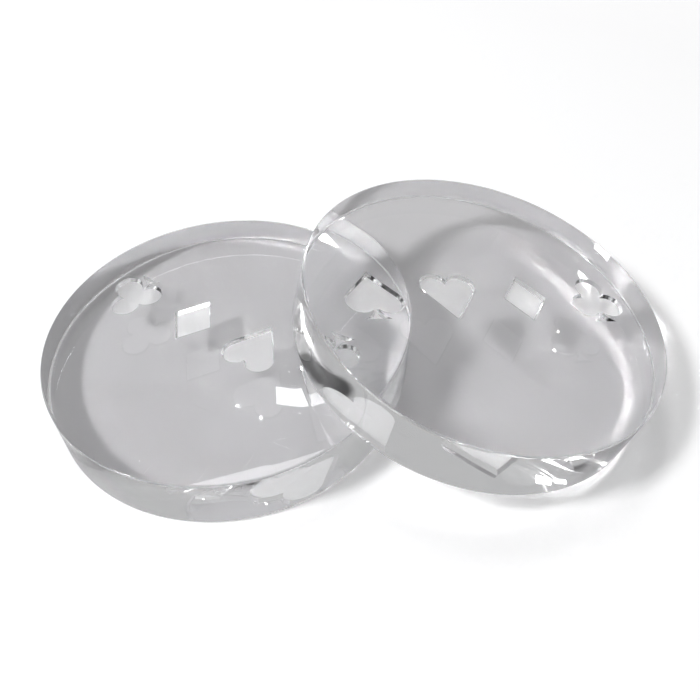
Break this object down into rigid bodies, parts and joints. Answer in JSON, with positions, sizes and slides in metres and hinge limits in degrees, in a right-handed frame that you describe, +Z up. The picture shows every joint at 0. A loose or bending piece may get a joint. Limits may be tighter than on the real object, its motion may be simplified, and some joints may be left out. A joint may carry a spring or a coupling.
{
  "type": "all-in button",
  "caption": "Clear acrylic all-in buttons for a card table: thick solid round discs with polished edges and a row of card suits engraved in the top face, one lying flat and its twin leaning on its rim.",
  "frame": {"origin": "centre of the flat button's underside, on the table", "axes": "+Z up out of the flat button's top face; +X towards the leaning button, along the pair's length"},
  "size_m": [0.1299, 0.0783, 0.031],
  "materials": {
    "clear_acrylic": "clear cast acrylic, polished, frosted where it is engraved"
  },
  "bodies": {
    "flat_button": {"flat_button": "clear_acrylic"},
    "leaning_button": {"leaning_button": "clear_acrylic"}
  },
  "joints": [
    {"name": "lift_off", "type": "slide", "parent": "flat_button", "child": "leaning_button", "axis": [0, 0, 1], "range_m": [0, 0.04]}
  ]
}
